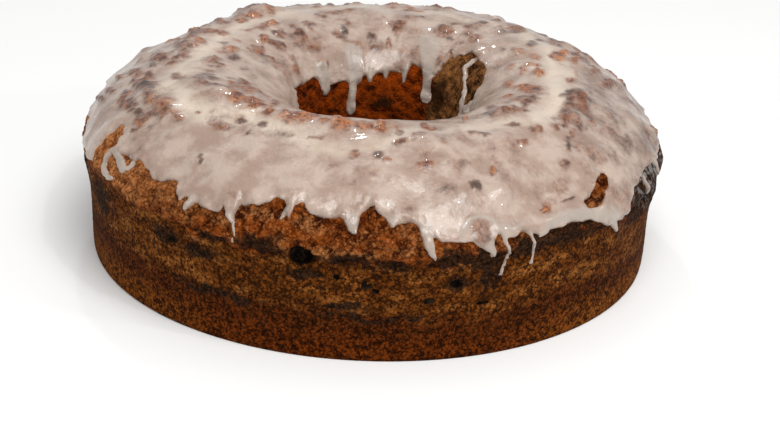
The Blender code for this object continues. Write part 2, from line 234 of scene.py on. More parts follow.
# Lumps of crust under the glaze: angle, length along the section, half length and half width in millimetres,
# and the turn of the long side. The kinds are orange, brown, dark, grey and deep, and soft brown patches.
LUMPS = {
    "o": ((-45, 114, 4, 3, 0), (-63, 88, 8.1, 4.3, 6), (-52, 94, 1.7, 1.1, -4), (-63, 76, 4.2, 2, 10),
          (-105, 105, 4.8, 2.1, 27), (-50, 110, 5.9, 3.3, -39), (-43, 112, 3.7, 2.8, -55),
          (-36, 111, 3.5, 2, -53), (-22.5, 113.5, 5.6, 4.6, 0), (-16.5, 109, 2.4, 1.8, 0),
          (-13, 115.5, 4.4, 3.4, 0), (-8, 113, 3, 3.4, 0), (-4, 112.5, 4, 3.8, 0), (0.8, 110.5, 3, 2.8, 0),
          (3, 91, 2.3, 1.8, 4), (-140, 146, 3.1, 2.1, -2), (-135, 115, 4.3, 3.2, -10),
          (-122, 124, 4.6, 2.2, 31), (88, 118, 4.9, 2.6, 0), (74, 123, 4.7, 3.2, 27), (16, 112.5, 3, 2, 0),
          (15, 116, 2.6, 1.6, 68), (32, 120, 3.2, 1.6, 56), (27, 81, 2.6, 1.6, 57), (86, 60, 4, 3.2, -14),
          (65, 86, 1.9, 1, -3), (108, 101, 7.4, 2.3, -37), (106, 95, 8.3, 1.9, -32),
          (35.5, 60.8, 3.6, 1.3, 12)),
    "b": ((-54, 87, 4.1, 2.4, 2), (-94, 77, 9, 2.2, 26), (-83, 82, 6.9, 2.1, 10), (-88, 69, 9, 2, 21),
          (-89, 63, 9, 1.7, 23), (-96, 91, 9, 3.1, 35), (-102, 100, 9, 4.2, 48), (-102, 119, 4.6, 3, -14),
          (-87, 113, 5.1, 3.7, -15), (-78, 99, 5.2, 2.6, 14), (-57, 121, 7, 2.7, -40),
          (-43, 122, 8.8, 2.5, -49), (-43, 94, 5.9, 3.6, 12), (-40, 101, 2.4, 1.9, -16),
          (-34, 95, 1.7, 1.2, -37), (-16, 100, 4, 1.6, 12), (11.8, 106, 3.4, 2.8, 20), (-5, 94, 2.4, 2.3, -9),
          (174, 129, 2.9, 2.3, -81), (177, 138, 4.5, 1.6, -82), (-117, 144, 3.2, 2, 13),
          (-148, 123, 3.8, 2.5, -4), (153, 125, 5.1, 4.5, -41), (137, 124, 4.5, 3.5, -33),
          (105, 116, 5, 2.8, -20), (101, 129, 4, 2.1, -1), (93, 125, 5.4, 2, -3), (83, 131, 5.2, 2.4, 20),
          (60, 117, 6.2, 5, -63), (49, 113, 7.6, 3.3, -40), (84, 104, 5.4, 2.3, -12), (65, 99, 5.3, 2.6, 7),
          (69, 94, 5.2, 2.4, 1), (56, 88, 3.4, 1.7, 19), (29, 104, 4, 2.6, 0), (42, 104, 3.7, 2.1, -13),
          (46, 96, 4, 2.6, 14), (39, 92, 2.9, 1.9, 2), (12, 88, 3.6, 2.4, 1), (45, 76, 3.4, 2.2, 9),
          (102, 87, 9, 1.8, -29), (96, 83, 9, 2.1, -29), (-117, 108, 3.7, 3.1, 45), (-94, 72, 9, 1.7, 24),
          (-113, 128, 3.7, 1.7, 18)),
    "d": ((-66, 79, 3.8, 1.8, 1), (-62, 72, 1.8, 1, 6), (-77, 86, 9, 3.8, 11), (-107, 114, 3.6, 2, 16),
          (-94, 122, 4.4, 2.2, -7), (-69, 112, 2.7, 2.3, -61), (-33, 102, 3, 2.1, -42),
          (6.5, 109, 2.2, 2.6, 0), (1, 94, 2.4, 2.8, 0), (-39, 76, 3.5, 1.5, -46), (-161, 131, 4.1, 1.8, 75),
          (-173, 134, 3.8, 1.6, 88), (148, 129, 2.1, 1.7, -35), (118, 110, 5.9, 2.5, -39),
          (73, 102, 5.9, 2.3, -31), (51, 84, 5, 1.2, 39), (31, 101, 2.5, 1.9, 28), (22, 76, 3.3, 2.7, 17),
          (41, 62, 4, 0.7, 0), (-91, 89, 5.1, 1.6, 19)),
    "g": ((-58, 78, 2.7, 1.4, 3), (-51, 78, 3.3, 2, 6), (-73, 110, 3.7, 3.3, -33), (-25, 99, 4.1, 2.3, 13),
          (121, 124, 3.1, 1.3, -30), (130, 133, 3.4, 1.8, -33), (132, 110, 7.6, 2.6, 80),
          (43, 120, 4.4, 2.9, 47), (57, 98, 2.6, 1.5, -7), (16, 76, 3.4, 2, -1), (70, 71, 4, 1.7, 3),
          (-105, 133, 6.2, 1.9, 16), (-85, 127, 3.8, 1.5, -19)),
    "s": ((-46, 97.5, 7, 4.5, 10), (-43, 102, 4.5, 3, 0), (-70, 92, 6, 4, 15), (-30, 97, 6, 3.2, 10),
          (34, 93, 7.5, 4, 0), (37.5, 63, 4.5, 2.2, 0), (41, 68, 5.5, 3.2, 10), (56, 74, 6.5, 5, 0),
          (70, 80, 8, 5, 20), (20, 87, 5, 3.5, 0), (-173, 140, 9, 4.5, 0), (-140, 135, 9, 5, 0),
          (160, 140, 6, 5, 0), (-110, 140, 7, 5, 0))}
# How high each kind stands, and how much of it shows through the glaze.
LUMP_RISE = {"o": 0.0024, "b": 0.0021, "d": 0.0018, "g": 0.0009, "s": 0.0005}
LUMP_SHOW = {"o": 0.94, "b": 0.80, "d": 0.92, "g": 0.55, "s": 0.42}
HIDDEN_LUMPS = 60
# Broad mounds of the crown, as the solid has them: angle, radius, half length, half width and rise.
MOUNDS = (
    (-79, 0.099, 0.006, 0.004, 0.0016), (-72, 0.1, 0.0065, 0.0045, 0.0018),
    (-60, 0.096, 0.008, 0.0055, 0.002), (-57, 0.078, 0.0075, 0.006, 0.0018),
    (-40, 0.109, 0.0045, 0.0035, 0.0014), (-31, 0.073, 0.0075, 0.005, 0.0016),
    (-14, 0.074, 0.0105, 0.0055, 0.0022), (1, 0.07, 0.0095, 0.005, 0.0022),
    (14, 0.085, 0.0075, 0.0055, 0.0018), (19, 0.11, 0.0045, 0.0035, 0.0014),
    (27, 0.111, 0.0045, 0.004, 0.0016), (33, 0.088, 0.009, 0.005, 0.002), (48, 0.07, 0.01, 0.0055, 0.0022),
    (62, 0.093, 0.007, 0.005, 0.0022), (75, 0.088, 0.0085, 0.005, 0.0018), (84, 0.119, 0.0045, 0.004, 0.002))
HIDDEN_MOUNDS = 24
# Where the wall swells at the sides: angle, height, half length, half width and rise.
SWELLINGS = ((-84, 0.039, 0.03, 0.009, 0.0018), (76, 0.039, 0.036, 0.01, 0.0018))
# Holes in the wall: angle, length, half width and half height in millimetres, and depth.
PITS = (
    (-12.1, 44.6, 5.9, 5.4, 0.0048), (16.9, 33.4, 3, 1.7, 0.002), (-0.4, 34, 1, 2.6, 0.0014),
    (1.7, 31, 1.4, 1.3, 0.0014), (11.9, 26.8, 2.3, 1.3, 0.0012), (22.2, 24, 3.1, 1.1, 0.0018),
    (0.8, 33.5, 1.8, 1.6, 0.0012), (-5.5, 37, 1.6, 1.4, 0.001), (-40, 37.5, 3.6, 1.8, 0.0014))
# Dark streaks through the crumb, near black: angle, length, half width and half height in millimetres.
DARK_STREAKS = (
    (-20, 47.5, 12, 5), (-29, 46, 9, 3), (-3, 45.5, 14, 4.2), (5, 43.5, 11, 3.6), (15, 46, 13, 6),
    (22, 44, 9, 8), (17, 34.5, 6, 3.6), (23, 36, 7, 6), (-41, 38.5, 9, 4.5), (-33, 37, 12, 3.5),
    (-12, 37, 9, 2.2), (-6, 24.5, 14, 1.8), (-66, 36, 14, 8), (-84, 36, 22, 12), (2, 19.5, 26, 2),
    (-30, 21, 22, 2.2), (110, 44, 24, 5), (150, 42, 30, 5), (-150, 44, 26, 5), (-112, 43, 22, 5),
    (125, 20, 24, 2), (-130, 22, 20, 2), (141, 158, 8, 7), (180, 165, 6, 4), (113, 150, 3, 5))
# Where the crumb under the glaze is orange: angle, length, half length and half width in millimetres.
WARM_ZONES = (
    (-20, 112, 42, 9), (-46, 112, 16, 10), (100, 112, 24, 16), (-112, 112, 24, 14), (180, 104, 70, 10),
    (96, 102, 34, 10), (84, 126, 30, 9))
# Where the crown is roughest: angle, length, half length and half width in millimetres, and how rough.
ROUGH_ZONES = (
    (-75, 84, 46, 14, 0.95), (-98, 96, 30, 14, 0.9), (-62, 116, 30, 14, 0.85), (-18, 112, 40, 8.5, 1),
    (10, 100, 16, 7, 0.6), (64, 96, 36, 9, 0.7), (60, 119, 40, 12, 0.85), (102, 112, 30, 16, 0.8),
    (150, 122, 36, 22, 0.55), (-165, 122, 44, 24, 0.55), (-125, 124, 30, 20, 0.7), (180, 92, 90, 18, 0.7),
    (130, 90, 50, 16, 0.7), (-140, 90, 50, 16, 0.75))
SEED = 7
# Without a seed, vector noise differs from run to run.
noise.seed_set(SEED)
BIG_CRUMB = 0.0062
SMALL_CRUMB = 0.0033
LUMP_CRUMB = 0.0042
CRAG_CRUMB = 0.0050
CROWN_STARTS = 0.066
LOWEST_DRIP = 0.030
# How far the crust sinks where the glaze hides it.
SINK = 0.0012
# The mesh is fine on the side that shows its crumb best: spans of angle or length, and their steps.
CAKE_COLUMNS = ((-97, 97, 0.47), (97, 263, 0.92))
CAKE_ROWS = ((0.0006, 0.03, 0.0012), (0.03, 0.066, 0.0008), (0.066, 0.076, 0.0014),
             (0.076, 0.136, 0.0025), (0.136, 0.209, 0.0015))


def turned(angle):
    """An angle brought into -180 to 180 degrees."""
    return (angle + 180) % 360 - 180


def eased(value, low, high):
    """0 below low and 1 above high, with a smooth rise between."""
    share = min(max((value - low) / (high - low), 0.0), 1.0)
    return share * share * (3 - 2 * share)


def closed_curve(points, angle):
    """The value at an angle of a smooth closed curve through (angle, value) points, by cosine steps."""
    after = bisect.bisect_right(points, angle, key=lambda point: point[0]) % len(points)
    low, high = points[after - 1], points[after]
    share = ((angle - low[0]) % 360) / ((high[0] - low[0]) % 360)
    return low[1] + (high[1] - low[1]) * (1 - math.cos(math.pi * share)) / 2


def section_points():
    """The cake's half section, as (radius, height), from the base's outer edge to the foot of the hole."""
    points = [(BASE_RADIUS - BASE_ROUND, 0.0), (BASE_RADIUS, BASE_ROUND), (WALL_TOP_RADIUS, WALL_HEIGHT)]
    for k in range(ARC_STEPS + 1):
        turn = math.pi / 2 * k / ARC_STEPS
        across = max(math.cos(turn), 0.0) ** (2 / OUTER_EXPONENT)
        rise = math.sin(turn) ** (2 / OUTER_EXPONENT)
        points.append((CREST_RADIUS + (CROWN_RADIUS - CREST_RADIUS) * across,
                       CROWN_WIDE_HEIGHT + (CREST_HEIGHT - CROWN_WIDE_HEIGHT) * rise))
    for k in range(1, ARC_STEPS + 1):
        turn = math.pi / 2 * k / ARC_STEPS
        across = math.sin(turn) ** (2 / INNER_EXPONENT)
        rise = max(math.cos(turn), 0.0) ** (2 / INNER_EXPONENT)
        points.append((CREST_RADIUS - (CREST_RADIUS - HOLE_RADIUS) * across,
                       HOLE_TOP_HEIGHT + (CREST_HEIGHT - HOLE_TOP_HEIGHT) * rise))
    points.append((HOLE_RADIUS, 0.0))
    return points


SECTION = section_points()
LENGTHS = [0.0]
for before, after in zip(SECTION, SECTION[1:]):
    LENGTHS.append(LENGTHS[-1] + math.dist(before, after))
WALL_LENGTH = LENGTHS[2]
WIDE_LENGTH = LENGTHS[3]
CREST_LENGTH = LENGTHS[3 + ARC_STEPS]
FULL_LENGTH = LENGTHS[-1]


@functools.cache
def on_section(length):
    """Radius and height of the section at a length along it."""
    length = min(max(length, 0.0), FULL_LENGTH)
    k = max(bisect.bisect_left(LENGTHS, length), 1)
    share = (length - LENGTHS[k - 1]) / (LENGTHS[k] - LENGTHS[k - 1])
    (r0, z0), (r1, z1) = SECTION[k - 1], SECTION[k]
    return r0 + (r1 - r0) * share, z0 + (z1 - z0) * share


@functools.cache
def outward(length):
    """The section's outward direction, as radius and height, smoothed over a few millimetres."""
    (r0, z0), (r1, z1) = on_section(length - 0.0015), on_section(length + 0.0015)
    size = math.dist((r0, z0), (r1, z1))
    return (z1 - z0) / size, (r0 - r1) / size


def wave(place, size, rise, shift=(0, 0, 0)):
    """Smooth ups and downs of about that size, up to a rise."""
    return rise * noise.noise(place / size + Vector(shift))


def around(angle, radius, height):
    """The point or direction at an angle round the cake."""
    turn = math.radians(angle)
    return Vector((radius * math.sin(turn), -radius * math.cos(turn), height))


def all_mounds():
    """The mounds that the front shows, and more of the same round the sides and back."""
    draw = random.Random(SEED)
    mounds = list(MOUNDS)
    for _ in range(HIDDEN_MOUNDS):
        long_side = draw.uniform(0.0045, 0.0100)
        mounds.append((turned(draw.uniform(92, 276)), draw.uniform(0.062, 0.116), long_side,
                       long_side * draw.uniform(0.5, 0.9), draw.uniform(0.0012, 0.0026)))
    return mounds


def all_lumps():
    """The lumps that the front shows, and more of the same over the parts that it hides."""
    draw = random.Random(SEED + 2)
    lumps = [(*lump, kind) for kind, group in LUMPS.items() for lump in group]
    for _ in range(HIDDEN_LUMPS):
        long_side = draw.uniform(2.2, 6.5)
        lumps.append((turned(draw.uniform(100, 262)), draw.uniform(64, 108), long_side,
                      long_side * draw.uniform(0.4, 0.8), draw.uniform(-40, 40), draw.choice("oobbbdg")))
    return lumps


ALL_MOUNDS = all_mounds()
ALL_LUMPS = all_lumps()


@functools.cache
def mounds_near(angle):
    """The mounds that can reach an angle. The next two do the same for rough zones and lumps."""
    return [shape for shape in ALL_MOUNDS if abs(turned(angle - shape[0])) < 20]


@functools.cache
def zones_near(angle):
    return [zone for zone in ROUGH_ZONES if abs(turned(angle - zone[0])) < 90]


@functools.cache
def lumps_near(angle):
    return [lump for lump in ALL_LUMPS if abs(turned(angle - lump[0])) < 18]


def in_crack(angle, radius):
    """1 at the bottom of the crack, falling to 0 at both sides."""
    away = (radius - closed_curve(CRACK, angle)) / CRACK_HALF_WIDTH
    return math.exp(-1.3 * away * away)


def mound(angle, radius, shape, aside):
    """The rise of a rounded mound at a place that lies aside from the mound's middle line."""
    at, _, half_length, half_width, rise = shape
    along = math.radians(turned(angle - at)) * radius / half_length
    across = aside / half_width
    return rise * math.exp(-1.6 * (along * along + across * across))


def relief(angle, length):
    """How far the crust's broad shape stands out of the plain turned shape, as in the solid."""
    radius, height = on_section(length)
    place = around(angle, radius, height)
    crown = eased(length, WALL_LENGTH - 0.003, WALL_LENGTH + 0.008)
    rough = crown * (1 - 0.75 * eased(length, FULL_LENGTH - 0.060, FULL_LENGTH - 0.030))
    out = wave(place, 0.035, 0.0004)
    out += wave(place, 0.028, rough * 0.0016, (3.1, 0, 0))
    out += wave(place, 0.012, rough * 0.0010, (0, 7.7, 0))
    if length > WIDE_LENGTH and height > HOLE_TOP_HEIGHT:
        out -= CRACK_DEPTH * in_crack(angle, radius)
        out += sum(mound(angle, radius, shape, radius - shape[1]) for shape in mounds_near(angle))
    if length < CREST_LENGTH:
        out += sum(mound(angle, radius, swelling, height - swelling[1]) for swelling in SWELLINGS)
    return out * (0.2 + 0.8 * eased(height, 0.0, 0.006))


def crumbs(place, size):
    """Rounded crumbs of about that size, 0 between them and 1 on top."""
    near = noise.voronoi(place / size)[0][0]
    return max(0.0, 1 - 1.7 * near * near)


def within(angle, length, spot, half_length, half_width, turn=0.0):
    """How far from the middle of an oval spot a place lies, as a share of the oval's own size."""
    radius = on_section(length)[0]
    along = math.radians(turned(angle - spot[0])) * radius * 1000
    across = length * 1000 - spot[1]
    turn = math.radians(turn)
    first = (along * math.cos(turn) + across * math.sin(turn)) / half_length
    second = (across * math.cos(turn) - along * math.sin(turn)) / half_width
    return math.hypot(first, second)


def in_oval(angle, length, oval, core, rim):
    """1 in an oval spot's core, falling to 0 at its rim. Both are shares of the spot's own size."""
    return 1 - eased(within(angle, length, oval, *oval[2:4]), core, rim)


def lump_at(angle, length, place):
    """The lump at a place: its rise, how far it shows through the glaze, how dark and how orange it is."""
    rise = show = dark = warm = 0.0
    for lump in lumps_near(angle):
        if abs(length * 1000 - lump[1]) > 12:
            continue
        share = 1 - eased(within(angle, length, lump, *lump[2:5]), 0.45, 1.55)
        if share > 0:
            share *= 0.60 + 0.45 * crumbs(place, LUMP_CRUMB) + wave(place, 0.0026, 0.35)
            rise = max(rise, share * LUMP_RISE[lump[5]])
            show = max(show, eased(share, 0.04, 0.82) * LUMP_SHOW[lump[5]])
            dark = max(dark, share * (lump[5] in "dg"))
            warm = max(warm, share * (lump[5] == "o"))
    return rise, show, dark, warm


def in_pit(angle, length):
    """The depth of the hole at a place in the wall, and how far into it the place lies, from 0 to 1."""
    shift = noise.noise_vector(around(angle, *on_section(length)) / 0.0032)
    for pit in PITS:
        if abs(turned(angle - pit[0])) < 4 and abs(length * 1000 - pit[1]) < 8:
            share = in_oval(angle + 0.55 * shift.x, length + 0.0012 * shift.y, pit, 0.55, 1.15)
            if share > 0:
                return share * pit[4], share
    return 0.0, 0.0


def crag_share(angle, length):
    """1 on the craggy crown and 0 on the smooth wall below it and in the foot of the hole."""
    radius, height = on_section(length)
    if length > CREST_LENGTH:
        return 1 - 0.6 * eased(length, 0.165, 0.200)
    place = around(angle, radius, height)
    wander = wave(place, 0.0130, 0.0028) + wave(place, 0.0045, 0.0020)
    return eased(height - closed_curve(SEAM, angle) + wander, -0.0012, 0.0020)


def roughness_at(angle, length, place):
    """How far a place of the crown broke up in crags, from 0 to 1. The crags run round the ring."""
    zone = max([0.12] + [zone[4] * in_oval(angle, length, zone, 0.45, 1.25) for zone in zones_near(angle)])
    field = wave(around(angle, 0.064, length), 0.0085, 0.70) + wave(place, 0.0045, 0.50)
    return eased(field, 0.30 - 0.50 * zone, 0.60 - 0.42 * zone) * min(1.0, 0.35 + zone)


def lumpy_out(angle, length):
    """How far the crust's broad shape and its lumps stand out of the plain turned shape."""
    radius, height = on_section(length)
    place = around(angle, radius, height)
    out = relief(angle, length)
    rise = lump_at(angle, length, place)[0]
    if length > CROWN_STARTS:
        rough = roughness_at(angle, length, place) * (1 - 0.8 * in_crack(angle, radius))
        rise = max(rise, rough * (0.0007 + 0.0013 * crumbs(place, CRAG_CRUMB)))
        out += wave(place, 0.0085, 0.0005)
    return out + rise


def crust_out(angle, length):
    """How far the crust stands out of the plain turned shape, with its crags, lumps and holes."""
    radius, height = on_section(length)
    place = around(angle, radius, height)
    craggy = crag_share(angle, length)
    rough = 1 - 0.6 * eased(abs(angle), 50, 76) * eased(length, 0.075, 0.065)
    out = lumpy_out(angle, length)
    out += craggy * rough * (0.0018 * (crumbs(place, BIG_CRUMB) - 0.60)
                             + 0.0011 * (crumbs(place, SMALL_CRUMB) - 0.55))
    out += wave(place, 0.0026, (1 - craggy) * 0.00022)
    if length < WIDE_LENGTH + 0.020:
        out += 0.0006 * craggy * rough * (1 - eased(length, WIDE_LENGTH, WIDE_LENGTH + 0.020))
    out -= in_pit(angle, length)[0]
    return out * (0.15 + 0.85 * eased(height, 0.0, 0.004))


def on_crust(angle, length, out):
    """The point that stands out from the plain shape by out, at an angle and a length along the section."""
    radius, height = on_section(length)
    out_r, out_z = outward(length)
    foot = length <= 0.0 or length >= FULL_LENGTH
    point = around(angle, radius + out * out_r, 0.0 if foot else height + out * out_z)
    point.x += HOLE_SHIFT * eased(radius, CROWN_RADIUS, HOLE_RADIUS)
    return point


def stepped(spans):
    """Values from the first span's start to the last span's end, each span cut into equal steps."""
    values = []
    for low, high, step in spans:
        count = round((high - low) / step)
        values += [low + (high - low) * k / count for k in range(count)]
    return values


def spun_grid(angles, lengths, closed):
    """A grid spun from the section, whose vertices know their angle and their length along the section."""
    mesh = bmesh.new()
    angle_of = mesh.verts.layers.float.new("angle")
    length_of = mesh.verts.layers.float.new("length")
    chain = []
    for length in lengths:
        radius, height = on_section(length)
        vertex = mesh.verts.new((radius, 0.0, height))
        vertex[length_of] = length
        chain.append(vertex)
    ends = chain[1:] + chain[:1] if closed else chain[1:]
    edges = [mesh.edges.new(pair) for pair in zip(chain, ends)]
    bmesh.ops.spin(mesh, geom=chain + edges, cent=(0, 0, 0), axis=(0, 0, 1), angle=math.tau,
                   steps=len(angles), use_merge=True)
    for vertex in mesh.verts:
        turn = math.atan2(vertex.co.y, vertex.co.x) % math.tau
        vertex[angle_of] = turned(angles[round(turn / math.tau * len(angles)) % len(angles)])
    return mesh


def new_marks(mesh, *names):
    """A value of each name on the mesh's vertices, for its material to read."""
    return [mesh.verts.layers.float.new(name) for name in names]


def turn_outward(mesh):
    """Makes the faces of a closed mesh point outwards."""
    bmesh.ops.recalc_face_normals(mesh, faces=mesh.faces[:])
    if mesh.calc_volume(signed=True) < 0:
        bmesh.ops.reverse_faces(mesh, faces=mesh.faces[:])


# How the glaze lies on the ring. It has to be known here, because the crust sinks a little under it.
# The edge of the sheet outside and in the hole: angle, and length along the section in millimetres.
OUTER_EDGE = (
    (-170, 60), (-160, 56), (-150, 61), (-142, 57), (-133, 60), (-125, 55), (-117, 60), (-108, 54),
    (-100, 57), (-92, 53), (-86, 55), (-80, 50.5), (-75, 50), (-70, 49.6), (-68.3, 50.5), (-67.9, 58),
    (-67.5, 65), (-66.9, 70), (-65.4, 70.5), (-64.3, 67.5), (-63.3, 63), (-62.3, 61.5), (-58.5, 62.5),
    (-55.5, 62.5), (-52.5, 64.5), (-50, 63), (-47, 60.7), (-45, 61), (-43, 63), (-41.2, 63.8), (-39.5, 58.5),
    (-38, 56.7), (-36.6, 59), (-34.8, 58.7), (-33, 57.2), (-30, 56.7), (-28.7, 57.5), (-28, 59.8),
    (-27.2, 57.5), (-25.8, 56.8), (-25, 62.5), (-22, 63.8), (-20, 65.5), (-18.5, 68.2), (-16.9, 67.6),
    (-15.8, 63), (-14.9, 60.5), (-14.3, 66), (-13.2, 68), (-12, 65), (-11, 63.6), (-8, 62.6), (-5.3, 63),
    (-4, 60.3), (-2.6, 57.2), (-1.9, 62), (-1.2, 66), (0.4, 69), (2, 66), (3.2, 64.6), (4.3, 60.2),
    (5.2, 61.2), (7.5, 62.2), (9.6, 60.5), (10.6, 57.5), (12, 56), (13.2, 53.8), (16, 53.4), (17.3, 52.8),
    (20, 53.6), (22.5, 52.6), (24.3, 54.8), (25.4, 53.2), (27, 52.6), (29.2, 54.2), (31, 53), (32.6, 51.6),
    (36, 52.4), (40, 52.6), (44, 51.5), (47, 49.5), (50, 46.2), (53.5, 45.5), (56, 47), (58, 52), (62, 54),
    (66.5, 56), (70, 56.2), (74, 56), (78, 53.8), (83, 54.5), (89, 56), (96, 59), (104, 55), (113, 60),
    (122, 56), (131, 59), (140, 55), (149, 59), (158, 54), (167, 58), (175, 55))
INNER_EDGE = (
    (-176.5, 152.5), (-171.5, 154), (-169, 153), (-165, 156), (-160, 157), (-153.5, 155), (-150.5, 155.5),
    (-143.5, 155.5), (-138, 152.5), (-133, 151.5), (-129.5, 151), (-122, 151.5), (-117.5, 151.5),
    (-112.5, 151), (-108, 151), (-104, 152.5), (-101.5, 156), (-99.5, 166), (-95, 170), (-85, 164),
    (-70, 158), (-55, 160), (-40, 156), (-20, 159), (0, 155), (20, 158), (40, 153), (60, 156), (78, 151),
    (92, 152), (99, 151), (102, 148), (105, 144.5), (108.5, 141), (112.5, 137.5), (119, 136.5), (124.5, 136),
    (130, 134), (133, 134), (136.5, 136), (141, 138.5), (143, 142), (144, 148), (146, 150), (152, 149),
    (158.5, 147), (162.5, 146.5), (165.5, 149.5), (170.5, 151), (178.5, 151.5))
# Runs of glaze below the edge, each a line of places with its half width: angle, length, half width.
OUTER_DRIPS = (
    ((-63.2, 61, 1.5), (-63.4, 56.5, 1.4), (-62.9, 53.2, 1.4), (-61.5, 51.3, 1.6), (-59.5, 50.9, 1.4),
     (-57.9, 51.7, 0.9)),
    ((-62.4, 61, 1.6), (-60, 60, 1.9), (-57.6, 58.8, 2.3), (-55.7, 57.6, 1.9), (-54.6, 58.4, 1.4),
     (-54.2, 61.5, 1.3)),
    ((-35, 59.5, 1.8), (-35.6, 56.5, 1.5), (-36.1, 54.6, 1)),
    ((-26.6, 57.5, 1.5), (-25.2, 54.6, 0.9), (-24.6, 51.5, 0.65), (-24.8, 48.8, 0.55),
     (-25.2, 46.4, 0.7)),
    ((-16, 64, 1.5), (-16.3, 61.6, 1.1), (-16.5, 60, 0.7)),
    ((-3.2, 62.5, 3), (-3, 60, 2.2), (-2.6, 58.2, 1.2)),
    ((4.3, 63.5, 2.4), (4.4, 61.3, 1.3)),
    ((10.4, 60.5, 2.6), (10.7, 56, 2.3), (10.9, 53, 2.1), (11.2, 50.6, 1.5), (12, 48.2, 0.7)),
    ((20, 58, 4.6), (20.8, 54.5, 4), (22.2, 51, 2.6), (22.9, 48.6, 1.4), (22.6, 46.9, 0.7)),
    ((25.2, 56, 1.6), (25.4, 51.5, 0.95), (26.3, 47, 0.8), (26.4, 43.5, 0.75), (25.6, 38.5, 0.8),
     (25.3, 35.6, 0.85)),
    ((30.9, 53.5, 1.2), (31.5, 49, 0.9), (32.1, 44.5, 0.75), (31.8, 40.5, 0.6), (31.7, 38, 0.95)),
    ((50.5, 51, 3.2), (52.8, 46.2, 2.6), (54.4, 42, 1.9), (55.8, 37.8, 0.7)),
    ((34.5, 52.6, 1.1), (33, 51, 0.8)),
    ((67, 54, 1.6), (67.6, 49, 0.7), (67.4, 46.5, 0.5)),
    ((75, 55, 1.4), (75.4, 50, 0.7), (75.2, 46.8, 0.5)))
INNER_DRIPS = (
    ((-162.5, 142, 4), (-161.5, 150, 3), (-160.5, 156, 2.2), (-159, 161, 2), (-157.5, 168.5, 2.3)),
    ((-138, 147.5, 3.4), (-138.5, 152.5, 3.2), (-138.5, 156.8, 3)),
    ((-171.5, 151, 2), (-171.5, 155.5, 1)),
    ((178.5, 150, 1.6), (178, 153.5, 0.9)),
    ((166, 149, 1.6), (166.5, 155, 0.8)),
    ((157.5, 133, 4.2), (153.5, 142, 3.6), (151, 150, 2.7), (150, 157, 2.1), (149.3, 160.5, 2.6)),
    ((127.5, 137, 1.6), (126.5, 142, 1.2), (121, 146, 1.1), (115.5, 149.5, 1.1), (111.5, 153.5, 1.2),
     (110, 158, 1.6)),
    ((94, 150, 4), (101, 155, 3), (108, 159, 2.2)),
    ((-78, 154, 2.2), (-78.4, 168, 1.4)),
    ((-36, 156, 2.2), (-36.2, 164, 1.4)),
    ((5, 154, 2.2), (5.4, 169, 1.3)),
    ((48, 153, 2.2), (48, 163, 1.4)),
    ((84, 149, 2.2), (84.2, 160, 1.4)))
# Places inside the sheet that it missed, in the same way.
BARE_PLACES = (
    ((53.9, 65, 1.6), (52.6, 63, 2.8), (50.7, 61.8, 2.6), (49.6, 59.6, 2.7), (48, 58, 2.6),
     (45.9, 57.6, 1.8)),)
# Raised folds of the glaze: the loop of film at the front, the strip under the bare place, smaller ones.
FOLDS = (
    ((16.6, 54.2, 0.9), (17.5, 58.8, 1.1), (19, 61.8, 1.1), (21.3, 62.4, 1.1), (23.4, 60.4, 1.2),
     (24.4, 56, 1.3), (24, 51.6, 1.2), (23, 48.6, 1)),
    ((33.4, 52.2, 1.4), (36, 55.6, 2.6), (40, 56, 3), (44, 54.6, 2.8), (48, 52, 2.8), (52, 47.5, 2.4)),
    ((25.2, 58, 1.3), (26.6, 55.8, 1.4), (29, 57, 1.2)))
# The thin film inside the loop: angle, length, half length and half width in millimetres.
FILM_OF_LOOP = (20.6, 56.6, 5.4, 6.4)
# The drips round the back: how many, how far they fall, and the solid's own edge there as angle and height.
HIDDEN_DRIPS = 9
HIDDEN_FALLS = (0.005, 0.007, 0.010, 0.015)
SOLID_EDGE = (
    (-150, 0.057), (-115, 0.055), (-90, 0.056), (-72, 0.057), (-62, 0.06), (70, 0.052), (85, 0.056),
    (110, 0.058), (150, 0.055))
# The radius at which a run's angles are turned into metres, outside and in the hole.
OUTER_SCALE = 0.1230
INNER_SCALE = 0.0385
FAR_INSIDE = 0.024
MELT = 0.0012


def outer_length(height):
    """The length along the section where its outer side reaches a height."""
    low, high = 0.0, CREST_LENGTH
    for _ in range(24):
        middle = (low + high) / 2
        low, high = (low, middle) if on_section(middle)[1] > height else (middle, high)
    return high


def all_outer_drips():
    """The drips that the front shows, and more of the same round the back, at the places of the solid's."""
    draw = random.Random(SEED + 1)
    drips = list(OUTER_DRIPS)
    step = 200 / HIDDEN_DRIPS
    for k in range(HIDDEN_DRIPS):
        angle = turned(76 + step * (k + draw.uniform(0.2, 0.7)))
        tip = outer_length(closed_curve(SOLID_EDGE, angle) - draw.choice(HIDDEN_FALLS)) * 1000
        wide = draw.uniform(0.0026, 0.0050) * 1000
        if abs(angle) > 85:
            start = max(tip + 10, closed_curve(OUTER_EDGE, angle) + 2)
            drips.append(((angle, start, wide), (angle + 0.4, tip + 4, wide * 0.7),
                          (angle, tip + 1.5, wide * 0.55)))
    return tuple(drips)


OUTER_RUNS = all_outer_drips()


@functools.cache
def runs_near(angle, runs):
    """The runs that can reach an angle."""
    return [run for run in runs if min(abs(turned(angle - place[0])) for place in run) < 12]


def in_run(angle, length, runs, scale):
    """How far inside the nearest of these runs a place lies, in metres."""
    deepest = -1.0
    for run in runs:
        for first, second in zip(run, run[1:]):
            u0 = math.radians(turned(first[0] - angle)) * scale * 1000
            u1 = math.radians(turned(second[0] - angle)) * scale * 1000
            v0 = first[1] - length * 1000
            v1 = second[1] - length * 1000
            du, dv = u1 - u0, v1 - v0
            share = min(max(-(u0 * du + v0 * dv) / (du * du + dv * dv), 0.0), 1.0)
            wide = first[2] + (second[2] - first[2]) * share
            deepest = max(deepest, (wide - math.hypot(u0 + du * share, v0 + dv * share)) / 1000)
    return deepest


